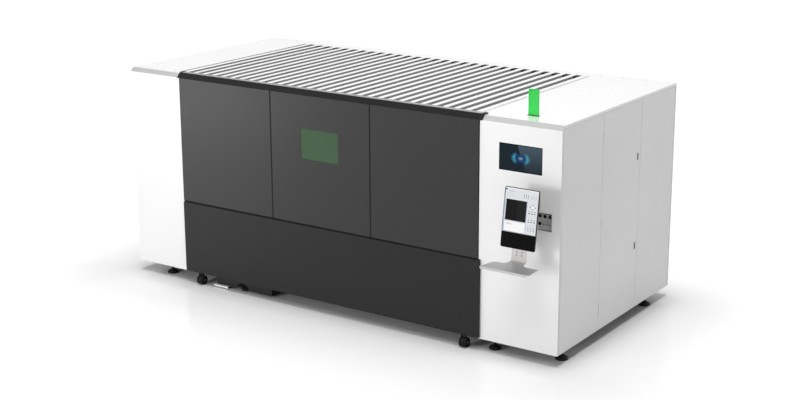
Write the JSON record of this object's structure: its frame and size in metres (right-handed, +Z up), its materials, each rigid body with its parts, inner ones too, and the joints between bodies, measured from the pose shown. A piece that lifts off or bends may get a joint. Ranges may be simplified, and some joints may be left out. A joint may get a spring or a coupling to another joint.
{
  "type": "fiber laser cutting machine",
  "caption": "Enclosed flat-bed fiber laser cutting machine with a gantry and head inside, a pull-out slat table, a side service door, a swivel console and a beacon.",
  "frame": {"origin": "on the floor, under the middle of the whole machine's outline with console and duct collars", "axes": "+X along the machine to the operator's right, +Y from the operator to the back, +Z up"},
  "size_m": [5.0017, 2.8623, 2.4],
  "materials": {
    "white_paint": "satin powder coat",
    "charcoal_paint": "satin powder coat",
    "grey_paint": "satin powder coat",
    "frame_paint": "semi-gloss frame enamel",
    "machined_steel": "ground",
    "stainless": "brushed",
    "galvanised": "galvanised sheet",
    "aluminium": "anodised",
    "black_rubber": "matt",
    "black_plastic": "fine texture",
    "grey_nylon": "moulded",
    "laser_glass": "green laser-safe acrylic",
    "screen_glass": "glossy screen",
    "beacon_green": "translucent lens",
    "lamp_red": "small lens",
    "brass": "turned"
  },
  "bodies": {
    "housing": {"base_frame": "frame_paint", "upper_frame": "frame_paint", "rail_beams": "frame_paint", "guide_rails": "machined_steel", "left_front_cover": "white_paint", "right_front_cover": "white_paint", "right_side_front_panel": "white_paint", "right_side_rear_panel": "white_paint", "left_side_panels": "white_paint", "rear_covers": "white_paint", "extraction_spigots": "galvanised", "rear_inlets": "brass", "roof_plates": "white_paint", "ribbed_roof": "white_paint", "front_panel_left": "charcoal_paint", "front_panel_middle": "charcoal_paint", "front_panel_right": "charcoal_paint", "window_pane": "laser_glass", "front_header": "charcoal_paint", "front_seals": "black_rubber", "levelling_feet": "galvanised", "front_plinth": "charcoal_paint", "plinth_strip": "aluminium", "drawer_rails": "machined_steel", "door_hinge_pins": "stainless", "laser_source": "grey_paint", "control_cabinet": "frame_paint", "display_panel": "screen_glass", "button_plate": "stainless", "indicator_lamps": "lamp_red", "beacon_base": "black_plastic", "beacon_lens": "beacon_green", "console_wall_mount": "galvanised"},
    "table": {"drawer_front": "charcoal_paint", "table_frame": "frame_paint", "slat_combs": "galvanised", "table_slats": "galvanised", "slag_tray": "galvanised", "caster_forks": "galvanised"},
    "left_wheel": {"caster_wheel_left": "grey_nylon"},
    "right_wheel": {"caster_wheel_right": "grey_nylon"},
    "gantry": {"gantry_beam": "frame_paint", "gantry_carriages": "aluminium", "gantry_drives": "black_plastic"},
    "head_slide": {"head_carriage": "aluminium"},
    "head": {"cutting_head": "aluminium", "nozzle": "brass"},
    "door": {"side_door": "white_paint", "latch_rims": "black_plastic"},
    "upper_paddle": {"latch_upper": "black_plastic"},
    "lower_paddle": {"latch_lower": "black_plastic"},
    "console": {"console_arm": "galvanised", "console_bracket": "stainless", "monitor_case": "black_plastic", "monitor_screen": "screen_glass"},
    "button_1": {"push_button_1": "black_plastic"},
    "button_2": {"push_button_2": "black_plastic"},
    "button_3": {"push_button_3": "black_plastic"},
    "button_4": {"push_button_4": "black_plastic"}
  },
  "joints": [
    {"name": "table_pull", "type": "slide", "parent": "housing", "child": "table", "axis": [0, -1, 0], "range_m": [0, 1.6]},
    {"name": "left_wheel_roll", "type": "hinge", "parent": "table", "child": "left_wheel", "pos_m": [-1.615, -0.963, 0.048], "axis": [1, 0, 0], "range_deg": [0, 1912]},
    {"name": "right_wheel_roll", "type": "hinge", "parent": "table", "child": "right_wheel", "pos_m": [1.555, -0.963, 0.048], "axis": [1, 0, 0], "range_deg": [0, 1912]},
    {"name": "gantry_travel", "type": "slide", "parent": "housing", "child": "gantry", "axis": [1, 0, 0], "range_m": [0, 3]},
    {"name": "head_travel", "type": "slide", "parent": "gantry", "child": "head_slide", "axis": [0, 1, 0], "range_m": [0, 1.5]},
    {"name": "head_lift", "type": "slide", "parent": "head_slide", "child": "head", "axis": [0, 0, 1], "range_m": [-0.085, 0]},
    {"name": "side_door_hinge", "type": "hinge", "parent": "housing", "child": "door", "pos_m": [2.5, -0.171, 1.1], "axis": [0, 0, -1], "range_deg": [0, 110]},
    {"name": "upper_latch", "type": "hinge", "parent": "door", "child": "upper_paddle", "pos_m": [2.4955, 0.548, 1.6269], "axis": [0, -1, 0], "range_deg": [0, 60], "stiffness_Nm_per_rad": 0.3},
    {"name": "lower_latch", "type": "hinge", "parent": "door", "child": "lower_paddle", "pos_m": [2.4955, 0.548, 0.7579], "axis": [0, -1, 0], "range_deg": [0, 60], "stiffness_Nm_per_rad": 0.3},
    {"name": "console_swivel", "type": "hinge", "parent": "housing", "child": "console", "pos_m": [2.24, -1.011, 1.46], "axis": [0, 0, 1], "range_deg": [-25, 25]},
    {"name": "push_button_1", "type": "slide", "parent": "housing", "child": "button_1", "axis": [0, 1, 0], "range_m": [0, 0.004], "stiffness_N_per_m": 600, "springref_m": -0.002},
    {"name": "push_button_2", "type": "slide", "parent": "housing", "child": "button_2", "axis": [0, 1, 0], "range_m": [0, 0.004], "stiffness_N_per_m": 600, "springref_m": -0.002},
    {"name": "push_button_3", "type": "slide", "parent": "housing", "child": "button_3", "axis": [0, 1, 0], "range_m": [0, 0.004], "stiffness_N_per_m": 600, "springref_m": -0.002},
    {"name": "push_button_4", "type": "slide", "parent": "housing", "child": "button_4", "axis": [0, 1, 0], "range_m": [0, 0.004], "stiffness_N_per_m": 600, "springref_m": -0.002}
  ],
  "couplings": [
    {"joint": "left_wheel_roll", "follows": "table_pull", "rad_per_m": 20.833},
    {"joint": "right_wheel_roll", "follows": "table_pull", "rad_per_m": 20.833}
  ]
}
